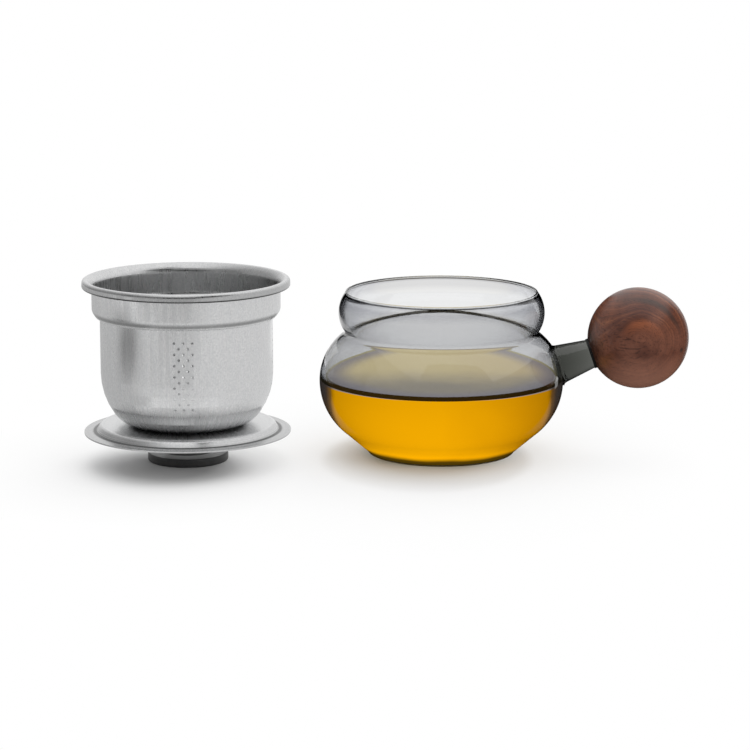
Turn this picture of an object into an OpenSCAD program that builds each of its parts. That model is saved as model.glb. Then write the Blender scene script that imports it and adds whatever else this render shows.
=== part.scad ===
// Glass tea mug with a wooden ball handle, a drop-in steel infuser and a lift-off steel lid.
// The lid lies upside down on its knob beside the mug and carries the infuser, as it does
// while the tea is poured. All sizes are in millimetres. The origin is the middle of the
// mug's foot, +Z is up and +X points along the handle.

/* [Glass mug] */
// Height of the mug at its lip
mug_h = 64.7; // [62:0.1:70]
// Widest outer diameter of the round belly
belly_d = 96.7; // [94:0.1:104]
// Height of the belly's widest level
belly_z = 29; // [28:0.1:30]
// Radius of the belly's side above its widest level
belly_top_r = 23; // [22:0.1:24]
// Radius of the belly's side below its widest level
belly_low_r = 25.6; // [24:0.1:27]
// Outer diameter of the bulge under the lip
bulb_d = 81.5; // [80:0.1:84]
// Height of that bulge's widest level
bulb_z = 56.3; // [55.5:0.1:57]
// Thickness of the blown wall
glass_wall = 1.9; // [1.6:0.1:2.2]
// Thickness of the fire-polished lip
lip_wall = 1.0; // [0.9:0.1:1.2]
// Thickness of the wall at the bulge under the lip
bulb_wall = 1.2; // [1.1:0.1:1.6]
// Diameter of the flat foot
foot_d = 58.4; // [54:0.2:62]
// Thickness of the glass under the tea
floor_h = 3.2; // [2.6:0.1:4]

/* [Handle] */
// Angle of the handle above the horizontal
handle_tilt = 19; // [14:1:24]
// Height on the belly at which the glass stub is fused on
stub_z = 35.4; // [34.5:0.1:36.5]
// Diameter of the stub where it leaves the mug
stub_root_d = 15.4; // [13:0.1:17]
// Diameter of the stub where it meets the ball
stub_end_d = 11.6; // [11:0.1:13]
// Visible length of the stub
stub_len = 12.2; // [11:0.1:18]
// Diameter of the wooden ball
ball_d = 40; // [36:0.2:44]

/* [Infuser] */
// Height of the infuser
infuser_h = 57.4; // [54:0.1:59]
// Outer diameter of the infuser's body
body_d = 67.4; // [65:0.1:68]
// Outer diameter of the collar that sits in the mug's mouth
collar_d = 73.6; // [72.4:0.1:73.8]
// Outer diameter of the rolled rim
rim_d = 81.2; // [80.8:0.1:83]
// Thickness of the infuser's sheet
sheet = 0.5; // [0.4:0.05:0.6]
// Diameter of one perforation
hole_d = 1.0; // [0.8:0.1:1.2]
// Rows of perforations in each strip
strip_rows = 13; // [7:2:13]
// Number of perforated strips round the body
strips = 4; // [1:1:6]
// Rings of perforations in the bottom
bottom_rings = 4; // [1:1:5]

/* [Lid and knob] */
// Diameter of the lid's brim
lid_d = 81; // [79:0.1:82]
// Diameter of the sunk plug that drops into the infuser's collar
plug_d = 71.8; // [70:0.1:72]
// Depth of the plug under the brim
plug_h = 2.9; // [2.4:0.1:3.4]
// Thickness of the lid's sheet
lid_sheet = 0.6; // [0.5:0.05:0.7]
// Height of the lid on its knob, from the table to the plug's face
lid_h = 15; // [14:0.5:18]
// Diameter of the knob's grip
knob_d = 31.6; // [26:0.2:36]
// Thickness of the knob's grip
grip_h = 3.4; // [3:0.1:4.5]
// Diameter of the knob's neck
neck_d = 18; // [14:0.5:20]

/* [Hidden] */
$fn = 96;
// A length that reaches past every piece
far = 200;

// Where the lid and the infuser stand, beside the mug
stack = [-99.9, -15, 0];

// Angle between two points of a round bend
bend_step = 9;

// Centre lines of the mug's round bands, as distances from its axis
belly_top_c = belly_d / 2 - belly_top_r;
belly_low_c = belly_d / 2 - belly_low_r;
bulb_out_r = 13;
bulb_out_c = bulb_d / 2 - bulb_out_r;
foot_r = foot_d / 2;
foot_edge_r = 0.8;
floor_bend_r = 6;
// Angle below the horizontal at which the belly's round side runs on straight to the foot
low_angle = 52.5;
// How far the straight side runs out for each millimetre of height
side_run = (low_end(0).x - foot_r) / (low_end(0).y - foot_edge_r);
// The wall's thickness measured level, across that side
side_step = glass_wall * norm([1, side_run]);
// Height of the lip's rounded edge and radius of its middle
lip_z = mug_h - lip_wall / 2;
lip_r = bulb_out_c + sqrt(pow(bulb_out_r, 2) - pow(lip_z - bulb_z, 2)) - lip_wall / 2;
// The bulge's inner side is flatter, so that the wall thins towards the lip
lip_draw = bulb_d / 2 - bulb_wall - (lip_r - lip_wall / 2);
bulb_in_r = (pow(lip_z - bulb_z, 2) + pow(lip_draw, 2)) / (2 * lip_draw);
bulb_in_c = bulb_d / 2 - bulb_wall - bulb_in_r;

// Where the inner side would meet the floor if their corner were sharp
floor_corner_r = foot_r + (floor_h - foot_edge_r) * side_run - side_step;

// The stub's axis starts on the belly's surface
stub_x = belly_top_c + sqrt(pow(belly_top_r, 2) - pow(stub_z - belly_z, 2));
weld_r = 1.5;
weld_depth = 6;
peg_r = 4.4;
peg_len = 12;
sleeve_wall = 0.9;
sleeve_flange = 1;
flange_r = stub_end_d / 2 + 0.3;
seat_s = stub_len + sleeve_flange;
bore_len = peg_len + 1;
// The ball is cut flat where it meets the sleeve's flange
ball_s = seat_s + sqrt(pow(ball_d / 2, 2) - pow(flange_r, 2));

// Levels of the infuser's bends, above its own bottom
bowl_z = 12;
bowl_r = 27;
foot_bend_r = 10.5;
foot_bend_x = body_d / 2 - 8.4;
shoulder_z = infuser_h - 14.8;
// The collar's lower edge: a nearly level ledge, then a steep part up to the collar
ledge_run = 1.6;
ledge_rise = 0.2;
shoulder_h = 2.6;
ledge_r = 1.5;
shoulder_r = 3;
crease_r = 0.5;
flare_r = 4;
rim_band = 3.3;
rim_bend_r = 1.2;
// The rim's lower edge is curled in this far, short of the mug's bulge
hem_r = 0.5;
hem_run = 0.85;
// Angle at which the flare climbs from the collar to the rolled rim
flare_angle = 40;
// The flare and the rolled edge would meet this far above the rim's bend
rim_rise = rim_bend_r * (tan(45 + flare_angle / 2) - 1);
flare_z = infuser_h - sheet / 2 + rim_rise - (rim_d - collar_d) / 2 * tan(flare_angle);

// Perforations
row_pitch = 2.18;
column_pitch = 3.46;
first_row_z = 37.6;
ring_pitch = 3.5;
strip_turn = -88.6;
// Length of the cutter that opens a perforation, and how far inside the wall it starts
punch_len = 9;
punch_back = 6;
floor_punch_len = 3;

// Lid, screw and knob
brim_z = lid_h - plug_h;
brim_drop = 0.3;
// The plug narrows upwards, so that it drops in easily
plug_draft = 1.6;
plug_edge_r = 2;
brim_crease_r = 0.6;
screw_r = 2;
head_r = 3.8;
dimple_r = 4.2;
dimple_h = 1.8;
// Height at which the screw's 45 degree seat would reach the axis
seat_z = lid_h - lid_sheet / 2 - dimple_r + lid_sheet / 2 * sqrt(2);
screw_end_z = 4.8;
screw_tip = 0.4;
// How far the screw's head stays under the plug's face
head_sink = 0.05;
insert_r = 2.8;
insert_z = 4.2;
insert_top_z = 12.2;
// Radius of the knob's socket at the top, round the lid's dimple
socket_r = dimple_r + 1.6;
knob_top_z = lid_h - lid_sheet;
grip_edge_r = 0.8;
// How much the grip's top climbs to the neck, and how much the neck widens at its top
grip_rise = 0.2;
neck_flare = 0.6;
neck_fillet_r = 3;

// ---- Outlines -----------------------------------------------------------------------

// Points of a round bend at p2 between p1 and p3. p2 is [x, y, radius]
function bend(p1, p2, p3) =
    let (a = [p1.x - p2.x, p1.y - p2.y])
    let (b = [p3.x - p2.x, p3.y - p2.y])
    let (ua = a / norm(a))
    let (ub = b / norm(b))
    let (half = acos(ua * ub) / 2)
    let (r = p2.z)
    let (mid = (ua + ub) / norm(ua + ub))
    let (c = [p2.x, p2.y] + mid * r / sin(half))
    let (from = [p2.x, p2.y] + ua * r / tan(half) - c)
    let (side = sign(ua.x * ub.y - ua.y * ub.x))
    let (turn = (180 - 2 * half) * -side)
    let (n = max(2, ceil(abs(turn) / bend_step)))
    [for (i = [0:n]) c + rotated(from, turn * i / n)];

function rotated(v, a) = [v.x * cos(a) - v.y * sin(a), v.x * sin(a) + v.y * cos(a)];

// An open path of [x, y, radius] corners, with every inner corner bent round
function bent(path) =
    let (last = len(path) - 1)
    [for (i = [0:last])
        let (sharp = i == 0 || i == last || path[i].z == 0)
        each sharp ? [[path[i].x, path[i].y]] : bend(path[i - 1], path[i], path[i + 1])];

// The normal at point i of a path, long enough to keep the sheet's thickness in a bend
function path_normal(p, i) =
    let (a = p[max(i - 1, 0)])
    let (b = p[min(i + 1, len(p) - 1)])
    let (ta = i == 0 ? (b - p[i]) : (p[i] - a))
    let (tb = i == len(p) - 1 ? (p[i] - a) : (b - p[i]))
    let (na = [-ta.y, ta.x] / norm(ta))
    let (nb = [-tb.y, tb.x] / norm(tb))
    (na + nb) / (1 + na * nb);

// Section of a sheet of thickness t whose middle follows a path
module sheet_section(path, t) {
    p = bent(path);
    left = [for (i = [0:len(p) - 1]) p[i] + path_normal(p, i) * t / 2];
    right = [for (i = [len(p) - 1:-1:0]) p[i] - path_normal(p, i) * t / 2];
    polygon(concat(left, right));
}

// Half outline of a round band: above its level (way 1) or below it (way -1)
module half_band(c, z, r, way) {
    intersection() {
        translate([c, z])
            circle(r = r);
        translate([0, way > 0 ? z : z - far])
            square([far, far]);
    }
    translate([0, way > 0 ? z : z - r])
        square([c, r]);
}

// Where the lower round side ends, for a surface inset from the outer one
function low_end(inset) = [
    belly_low_c + (belly_low_r - inset) * cos(low_angle),
    belly_z - (belly_low_r - inset) * sin(low_angle)
];

// The straight side's upper end, carried on a little way into the round one
function low_start(end, bottom) = end + (end - bottom) / 5;

// Everything inside the mug's outer surface, up to the lip
module cup_outside() {
    half_band(belly_top_c, belly_z, belly_top_r, 1);
    half_band(belly_low_c, belly_z, belly_low_r, -1);
    polygon([
        [0, foot_edge_r],
        [foot_r, foot_edge_r],
        low_start(low_end(0), [foot_r, foot_edge_r]),
        [0, belly_z]
    ]);
    intersection() {
        union() {
            translate([bulb_out_c, bulb_z])
                circle(r = bulb_out_r);
            translate([0, belly_z])
                square([bulb_out_c, far]);
        }
        translate([0, belly_z])
            square([far, lip_z - belly_z]);
    }
    square([foot_r - foot_edge_r, 2 * foot_edge_r]);
    translate([foot_r - foot_edge_r, foot_edge_r])
        circle(r = foot_edge_r);
}

// The hollow of the mug
module cup_inside() {
    half_band(belly_top_c, belly_z, belly_top_r - glass_wall, 1);
    half_band(belly_low_c, belly_z, belly_low_r - glass_wall, -1);
    side_top = low_start(low_end(glass_wall), [floor_corner_r, floor_h]);
    polygon(bent([
        [0, floor_h, 0],
        [floor_corner_r, floor_h, floor_bend_r],
        [side_top.x, side_top.y, 0],
        [0, belly_z, 0]
    ]));
    intersection() {
        translate([bulb_in_c, bulb_z])
            circle(r = bulb_in_r);
        translate([0, belly_z + belly_top_r / 2])
            square([far, far]);
    }
    translate([0, belly_z])
        square([bulb_in_c, far]);
}

// ---- Placing ------------------------------------------------------------------------

// Moves a piece onto the stub's axis, with its own Z pointing out along the handle
module on_handle() {
    translate([stub_x, 0, stub_z])
        rotate([0, 90 - handle_tilt, 0])
            children();
}

module on_stack() {
    translate(stack)
        children();
}

// ---- Mug and handle -----------------------------------------------------------------

// Blown glass: pinched waist, round belly, thick flat foot
module glass_cup() {
    color([0.55, 0.57, 0.57, 0.45])
        rotate_extrude() {
            difference() {
                cup_outside();
                cup_inside();
            }
            translate([lip_r, lip_z])
                circle(r = lip_wall / 2);
        }
}

// Solid glass stub, drawn to a taper, with a peg for the ball and a weld bead at its root
module glass_stub() {
    color([0.36, 0.37, 0.33, 0.7])
        difference() {
            on_handle()
                rotate_extrude() {
                    polygon([
                        [0, -weld_depth],
                        [stub_root_d / 2, -weld_depth],
                        [stub_root_d / 2, -weld_r / 4],
                        [stub_end_d / 2, stub_len],
                        [peg_r, stub_len],
                        [peg_r, stub_len + peg_len],
                        [0, stub_len + peg_len]
                    ]);
                    weld_bead();
                }
            rotate_extrude()
                cup_outside();
        }
}

// Hollow-sided bead where the stub's glass runs out onto the mug
module weld_bead() {
    difference() {
        translate([0, -weld_depth])
            square([stub_root_d / 2 + weld_r, weld_depth]);
        translate([stub_root_d / 2 + weld_r, 0])
            circle(r = weld_r);
        translate([stub_root_d / 2 + weld_r / 2, -weld_r])
            mirror([0, 1])
                square([weld_r, weld_depth]);
    }
}

// Thin sleeve that grips the peg inside the ball, with a flange that shows as a dark line
module silicone_sleeve() {
    color([0.14, 0.14, 0.13])
        on_handle()
            rotate_extrude() {
                translate([peg_r, stub_len])
                    square([flange_r - peg_r, sleeve_flange]);
                translate([peg_r, stub_len])
                    square([sleeve_wall, peg_len]);
            }
}

// Turned walnut ball with a blind bore and a small flat at its mouth
module ball_handle() {
    color([0.48, 0.29, 0.21])
        on_handle()
            difference() {
                translate([0, 0, ball_s])
                    sphere(d = ball_d);
                translate([0, 0, seat_s - far])
                    cylinder(r = far / 2, h = far);
                cylinder(r = peg_r + sleeve_wall, h = stub_len + bore_len);
            }
}

// ---- Infuser ------------------------------------------------------------------------

// One strip of staggered perforations, on the +X side
module strip_holes() {
    for (row = [0:strip_rows - 1]) {
        count = row % 2 == 0 ? 3 : 2;
        for (i = [0:count - 1]) {
            across = (i - (count - 1) / 2) * column_pitch;
            rotate([0, 0, across / (PI * body_d) * 360])
                translate([body_d / 2 - punch_back, 0, first_row_z - row * row_pitch])
                    rotate([0, 90, 0])
                        cylinder(d = hole_d, h = punch_len);
        }
    }
}

// Rings of perforations in the flat bottom
module bottom_holes() {
    floor_punch();
    for (ring = [1:bottom_rings])
        for (i = [0:6 * ring - 1])
            rotate([0, 0, i * 60 / ring])
                translate([ring * ring_pitch, 0, 0])
                    floor_punch();
}

module floor_punch() {
    translate([0, 0, -floor_punch_len / 2])
        cylinder(d = hole_d, h = floor_punch_len);
}

// Middle line of the drawn sheet, from the bottom's centre to the rim's curled edge
function infuser_path() =
    let (side = body_d / 2 - sheet / 2)
    let (collar = collar_d / 2 - sheet / 2)
    let (rim = rim_d / 2 - sheet / 2)
    [
        [0, sheet / 2, 0],
        [foot_bend_x, sheet / 2, foot_bend_r],
        [side, bowl_z, bowl_r],
        [side, shoulder_z, crease_r],
        [side + ledge_run, shoulder_z + ledge_rise, ledge_r],
        [collar, shoulder_z + shoulder_h, shoulder_r],
        [collar, flare_z, flare_r],
        [rim, infuser_h - sheet / 2 + rim_rise, rim_bend_r],
        [rim, infuser_h - rim_band + sheet / 2, hem_r],
        [rim - hem_run, infuser_h - rim_band + sheet / 2, 0]
    ];

// Deep-drawn basket in one sheet: bowl, body, collar, flare and rolled rim
module infuser_basket() {
    color([0.76, 0.76, 0.75])
        on_stack()
            translate([0, 0, lid_h])
                difference() {
                    rotate_extrude()
                        sheet_section(infuser_path(), sheet);
                    for (i = [0:strips - 1])
                        rotate([0, 0, strip_turn + i * 360 / strips])
                            strip_holes();
                    bottom_holes();
                }
}

// ---- Lid, lying upside down ---------------------------------------------------------

// Middle line of the lid's sheet, from the screw's dimple to the edge of the brim
function lid_path() =
    let (top = lid_h - lid_sheet / 2)
    let (wall = plug_d / 2 - lid_sheet / 2)
    let (brim = brim_z - lid_sheet / 2 + brim_drop)
    [
        [dimple_r - dimple_h, top - dimple_h, 0],
        [dimple_r, top, 0],
        [wall - plug_draft, top, plug_edge_r],
        [wall, brim, brim_crease_r],
        [lid_d / 2, brim - brim_drop, 0]
    ];

// Pressed lid: sunk plug, brim and a dimple for the flush screw
module lid_pan() {
    color([0.80, 0.80, 0.79])
        on_stack()
            rotate_extrude()
                sheet_section(lid_path(), lid_sheet);
}

// Countersunk screw, flush with the plug's face
module lid_screw() {
    color([0.68, 0.68, 0.68])
        on_stack()
            rotate_extrude()
                polygon([
                    [0, screw_end_z],
                    [screw_r - screw_tip, screw_end_z],
                    [screw_r, screw_end_z + screw_tip],
                    [screw_r, seat_z + screw_r],
                    [head_r, seat_z + head_r],
                    [head_r, lid_h - head_sink],
                    [0, lid_h - head_sink]
                ]);
}

// Outline of the knob: grip with eased edges, hollow-sided neck
function knob_path() =
    [
        [0, 0, 0],
        [knob_d / 2, 0, grip_edge_r],
        [knob_d / 2, grip_h, grip_edge_r],
        [neck_d / 2, grip_h + grip_rise, neck_fillet_r],
        [neck_d / 2 + neck_flare, knob_top_z, 0],
        [0, knob_top_z, 0]
    ];

// Moulded black knob, on which the lid stands when it lies upside down
module knob() {
    color([0.13, 0.13, 0.13])
        on_stack()
            difference() {
                rotate_extrude()
                    polygon(bent(knob_path()));
                translate([0, 0, insert_z])
                    cylinder(r = insert_r, h = far);
                translate([0, 0, insert_top_z])
                    cylinder(r1 = insert_r, r2 = socket_r, h = knob_top_z - insert_top_z);
            }
}

// Brass insert moulded into the knob, for the screw
module knob_insert() {
    color([0.78, 0.64, 0.30])
        on_stack()
            difference() {
                translate([0, 0, insert_z])
                    cylinder(r = insert_r, h = insert_top_z - insert_z);
                translate([0, 0, screw_end_z])
                    cylinder(r = screw_r, h = far);
            }
}

glass_cup();
glass_stub();
silicone_sleeve();
ball_handle();
infuser_basket();
lid_pan();
lid_screw();
knob();
knob_insert();
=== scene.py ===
# %% [markdown]
# # A glass tea mug with a wooden ball handle, an infuser and a lid
# The mug is blown smoke-grey glass with a pinched waist. A solid glass stub carries a walnut
# ball. The lid lies upside down on its own knob, as a saucer, and the perforated steel
# infuser stands on it. The frame that is loaded first holds every piece at its real size.
# This lesson dresses each piece in the finish that its maker would give it.

# %% Load the frame
import math

import bpy
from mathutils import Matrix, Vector


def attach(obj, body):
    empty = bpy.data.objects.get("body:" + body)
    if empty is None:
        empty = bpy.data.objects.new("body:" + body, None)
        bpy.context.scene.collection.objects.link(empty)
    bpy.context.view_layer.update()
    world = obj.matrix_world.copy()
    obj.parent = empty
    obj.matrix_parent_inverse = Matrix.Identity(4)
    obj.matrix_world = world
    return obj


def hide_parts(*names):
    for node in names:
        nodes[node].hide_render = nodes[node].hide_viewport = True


MM = 0.001


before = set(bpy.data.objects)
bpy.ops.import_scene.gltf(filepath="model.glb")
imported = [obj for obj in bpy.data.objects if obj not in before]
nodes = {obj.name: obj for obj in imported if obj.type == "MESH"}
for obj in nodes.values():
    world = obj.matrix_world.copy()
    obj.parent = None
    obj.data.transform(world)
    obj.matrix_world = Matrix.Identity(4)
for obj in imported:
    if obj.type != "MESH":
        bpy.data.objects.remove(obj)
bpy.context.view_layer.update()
print("nodes:", ", ".join(sorted(nodes)))

# %% [markdown]
# ## Helpers
# Blender works in metres and in linear light, while a maker thinks in millimetres and picks
# colours from a chart of sRGB hex values. `MM` turns one length into the other, and `linear`
# does the same for a colour. `add` places a shader node with its settings, its links and the
# stops of a colour ramp, so that a material reads as a short list of what feeds what. Sockets
# go by name, or by number on a node whose sockets share a name, such as Math or Mix.

# %% Colours and nodes
WHITE = "FFFFFF"
# A Mix node's inputs for colours: how much, from which one and to which one
AMOUNT, FROM, TO = 0, 6, 7
# Its settings, with the output that holds the mixed colour: to blend, or to tint by multiplying
BLEND = {"data_type": "RGBA", "out": 2}
TINT = {"blend_type": "MULTIPLY", **BLEND}
# A Map Range node that eases in and out
SMOOTH = {"interpolation_type": "SMOOTHSTEP"}


def linear(hex_colour):
    """An sRGB hex value such as "7F4A38" as linear red, green, blue and alpha."""
    parts = [int(hex_colour[i : i + 2], 16) / 255 for i in (0, 2, 4)]
    return [v / 12.92 if v <= 0.04045 else ((v + 0.055) / 1.055) ** 2.4 for v in parts] + [1.0]


def add(material, kind, inputs=None, stops=(), out=0, **settings):
    """Adds a shader node, and returns the output that out names, or all of them for None.

    An input is a value, a hex colour or a link. A ramp's stop is (position, colour or grey).
    """
    node = material.node_tree.nodes.new("ShaderNode" + kind)
    for name, value in settings.items():
        setattr(node, name, value)
    for name, value in (inputs or {}).items():
        if isinstance(value, bpy.types.NodeSocket):
            material.node_tree.links.new(value, node.inputs[name])
        else:
            node.inputs[name].default_value = linear(value) if isinstance(value, str) else value
    if stops:
        elements = node.color_ramp.elements
        while len(elements) < len(stops):
            elements.new(0.5)
        for element, (position, colour) in zip(elements, stops):
            element.position = position
            element.color = linear(colour) if isinstance(colour, str) else (colour,) * 3 + (1.0,)
    return node.outputs[out] if node.outputs and out is not None else node.outputs


def new_material(name):
    """An empty node material."""
    material = bpy.data.materials.new(name)
    material.use_nodes = True
    material.node_tree.nodes.clear()
    return material


def dress(piece, material):
    """Gives a piece one material all over."""
    piece.data.materials.clear()
    piece.data.materials.append(material)
    print(piece.name, "is finished in", material.name)


# %% [markdown]
# ## Turning an outline into a mesh
# Blown glass is round about an axis. The plainest way to build it would be a primitive with
# a few modifiers, but then no curve is the real one. Here the outline is drawn as arcs and
# straights, as (distance from the axis, height), and `lathe` carries it round the axis.
# Glass shows every facet, so it gets many steps.

# %% Arcs and the lathe
GLASS_STEPS = 288
ON_AXIS = 1e-6


def arc(centre, radius, start, end, steps):
    """Points on an arc from one angle to another, in degrees from straight out."""
    angles = [math.radians(start + (end - start) * i / steps) for i in range(steps + 1)]
    return [(centre[0] + radius * math.cos(a), centre[1] + radius * math.sin(a)) for a in angles]


def lathe(name, outline, steps):
    """Carries an outline in millimetres round the upright axis."""
    rings = []
    for r, z in outline:
        count = 1 if r < ON_AXIS else steps
        turns = [2 * math.pi * i / count for i in range(count)]
        rings.append([Vector((r * math.cos(t), r * math.sin(t), z)) * MM for t in turns])
    verts = [point for ring in rings for point in ring]
    starts = [sum(len(ring) for ring in rings[:i]) for i in range(len(rings))]
    faces = []
    for i in range(len(rings) - 1):
        low, high = len(rings[i]), len(rings[i + 1])
        for k in range(steps):
            a, b = starts[i] + k % low, starts[i] + (k + 1) % low
            c, d = starts[i + 1] + (k + 1) % high, starts[i + 1] + k % high
            # At the axis two corners are one, and the face is a triangle
            face = list(dict.fromkeys([a, b, c, d]))
            if len(face) > 2:
                faces.append(face)
    mesh = bpy.data.meshes.new(name)
    mesh.from_pydata(verts, [], faces)
    mesh.polygons.foreach_set("use_smooth", [True] * len(faces))
    mesh.update()
    piece = bpy.data.objects.new(name, mesh)
    bpy.context.scene.collection.objects.link(piece)
    print(name, "has", len(faces), "faces")
    return piece


# %% [markdown]
# ## The sizes that the glass is drawn from
# The mug's width and height and the axis that the lid and the infuser share are measured on
# the frame's own pieces. The other sizes are the frame's driving ones, in millimetres and
# degrees, and the thin wall at the pinch is added here. The belly is two arcs that meet at its
# widest level, the bulge under the lip is a third, and the foot is flat.

# %% Measure the frame


def box_corners(name):
    """The lowest and the highest corner of a piece of the frame, in mm to two places."""
    points = [v.co / MM for v in nodes[name].data.vertices]
    return [[round(pick(p[i] for p in points), 2) for i in range(3)] for pick in (min, max)]


BELLY_R, _, MUG_H = box_corners("glass_cup")[1]
screw_low, screw_high = box_corners("lid_screw")
STACK_X, STACK_Y = [(screw_low[i] + screw_high[i]) / 2 for i in (0, 1)]
STACK = Vector((STACK_X, STACK_Y, 0.0)) * MM
print("belly radius", BELLY_R, "mug height", MUG_H, "lid and infuser at", STACK_X, STACK_Y)

# %% Glass sizes
BELLY_Z = 29.0
BELLY_TOP_R = 23.0
BELLY_LOW_R = 25.6
LOW_ANGLE = 52.5
BULB_R = 40.75
BULB_Z = 56.3
BULB_OUT_R = 13.0
WALL = 1.9
BULB_WALL = 1.2
LIP_WALL = 1.0
PINCH_WALL = 1.0
PINCH_ANGLE = 56.6
FOOT_R = 29.2
FOOT_EDGE = 0.8
FLOOR_H = 3.2
FLOOR_BEND = 6.0

belly_top_c = (BELLY_R - BELLY_TOP_R, BELLY_Z)
belly_low_c = (BELLY_R - BELLY_LOW_R, BELLY_Z)
bulb_out_c = (BULB_R - BULB_OUT_R, BULB_Z)
lip_z = MUG_H - LIP_WALL / 2
lip_up = lip_z - BULB_Z
lip_out = math.degrees(math.asin(lip_up / BULB_OUT_R))
lip_r = bulb_out_c[0] + BULB_OUT_R * math.cos(math.radians(lip_out)) - LIP_WALL / 2
print("lip at radius", round(lip_r, 2), "and height", lip_z)

# %% Where the wall thins
# The bulge's inner side is a flatter arc, so that the wall thins towards the lip
lip_draw = BULB_R - BULB_WALL - (lip_r - LIP_WALL / 2)
bulb_in_r = (lip_up**2 + lip_draw**2) / (2 * lip_draw)
bulb_in_c = (BULB_R - BULB_WALL - bulb_in_r, BULB_Z)
lip_in = math.degrees(math.asin(lip_up / bulb_in_r))
# So is the belly's, from its widest level up to the pinch
pinch_r = BELLY_TOP_R - PINCH_WALL
belly_up = pinch_r * math.sin(math.radians(PINCH_ANGLE))
belly_draw = BELLY_TOP_R - WALL - pinch_r * math.cos(math.radians(PINCH_ANGLE))
belly_in_r = (belly_up**2 + belly_draw**2) / (2 * belly_draw)
belly_in_c = (BELLY_R - WALL - belly_in_r, BELLY_Z)
print("inner arcs of radius", round(belly_in_r, 1), "and", round(bulb_in_r, 1))

# %% [markdown]
# ## The mug's outline
# A glass-blower pinches the waist while the glass is soft, so the groove is never a sharp
# line. `waist` finds the small circle that touches both bands and returns where they leave
# for it. The inside follows the same bands one wall further in, but glass stretches thin as
# it is drawn up, so the wall is 1.9 mm at the belly and 1 mm at the pinch. Below, it runs
# into a thick floor with a generous bend.

# %% The waist
OUTER_EASE = 1.6
INNER_EASE = 2.6
BAND_STEPS = 30
EASE_STEPS = 10


def waist(low_centre, low_r, high_centre, high_r, ease):
    """Angles where two bands leave for an easing circle of radius ease, and its centre."""
    a, b = low_r + ease, high_r + ease
    across = Vector(high_centre) - Vector(low_centre)
    d = across.length
    along = (a * a - b * b + d * d) / (2 * d)
    off = math.sqrt(a * a - along * along)
    unit = across / d
    centre = Vector(low_centre) + unit * along + Vector((unit.y, -unit.x)) * off
    low = math.degrees(math.atan2(centre.y - low_centre[1], centre.x - low_centre[0]))
    high = math.degrees(math.atan2(centre.y - high_centre[1], centre.x - high_centre[0]))
    return low, high, (centre.x, centre.y)


def pinched(low_centre, low_r, high_centre, high_r, ease, top):
    """The outline from the belly's widest level, through the waist, to the lip."""
    low, high, centre = waist(low_centre, low_r, high_centre, high_r, ease)
    groove = arc(centre, ease, low + 180, high + 180, EASE_STEPS)
    return (arc(low_centre, low_r, 0, low, BAND_STEPS)[:-1] + groove[:-1]
            + arc(high_centre, high_r, high, top, BAND_STEPS))


# %% The outer side
LOW_STEPS = 36
FOOT_STEPS = 6


def low_side(inset):
    """The round side below the widest level, inset from the outer surface."""
    return arc(belly_low_c, BELLY_LOW_R - inset, -LOW_ANGLE, 0, LOW_STEPS)


outer_low = low_side(0)
foot_edge = arc((FOOT_R - FOOT_EDGE, FOOT_EDGE), FOOT_EDGE, -90, 0, FOOT_STEPS)
outside = (
    [(0, 0)]
    + foot_edge
    + outer_low[:-1]
    + pinched(belly_top_c, BELLY_TOP_R, bulb_out_c, BULB_OUT_R, OUTER_EASE, lip_out)
)
# The pinch is the narrowest place between the belly and the bulge
pinch_z = min((r, z) for r, z in outside if BELLY_Z < z < BULB_Z)[1]
print("pinched at height", round(pinch_z, 1))

# %% The lip and the inner side
LIP_STEPS = 14
BEND_STEPS = 10

lip = arc((lip_r, lip_z), LIP_WALL / 2, 0, 180, LIP_STEPS)[1:-1]
# The straight side between foot and belly leans out by this much for each mm of height
side_run = (outer_low[0][0] - FOOT_R) / (outer_low[0][1] - FOOT_EDGE)
side_step = WALL * math.hypot(1, side_run)
floor_corner = FOOT_R + (FLOOR_H - FOOT_EDGE) * side_run - side_step
side_angle = math.degrees(math.atan2(1, side_run))
bend_back = FLOOR_BEND * math.tan(math.radians(side_angle) / 2)
floor_bend = arc((floor_corner - bend_back, FLOOR_H + FLOOR_BEND), FLOOR_BEND,
                 -90, side_angle - 90, BEND_STEPS)
inside = (
    [(0, FLOOR_H)]
    + floor_bend
    + low_side(WALL)[:-1]
    + pinched(belly_in_c, belly_in_r, bulb_in_c, bulb_in_r, INNER_EASE, lip_in)
)
mug_outline = outside + lip + inside[::-1]
print("outline points:", len(mug_outline), "widest", round(max(p[0] for p in mug_outline), 2))

# %% Blow the mug
mug = lathe("mug_glass", mug_outline, GLASS_STEPS)
# The material needs to know the outer side from the inner one
outer = mug.data.attributes.new("outer", "FLOAT", "POINT")
outer_count = GLASS_STEPS * (len(outside) - 1) + 1
outer.data.foreach_set("value", [float(i < outer_count) for i in range(len(mug.data.vertices))])
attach(mug, "mug")
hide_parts("glass_cup")

# %% [markdown]
# ## Smoke-grey borosilicate
# Borosilicate glass bends light a little less than window glass: its IOR is 1.47. The grey is in
# the melt, so it is set as absorption for each metre of glass, and a thin wall stays pale. Where
# a wall is seen along its length, at every outline, lip and crease, the light has come a long way
# through it. A ramp on the facing angle paints that edge nearly black, on the outer side only, as
# painted shade for that long path and for the dark room seen through it. A dark line under the
# lip and a greyer near wall are painted shade too. How far in the edge reaches depends on the
# height, so a second ramp runs up the mug and moves the first one. Blown glass is never quite
# even, so a slow ripple bends the reflections.

# %% Smoke glass
GLASS_IOR = 1.47
# Ripples are this many times longer round the glass than up it
RIPPLE_STRETCH = 2.2
RIPPLE_DEPTH_MM = 0.15


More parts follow.
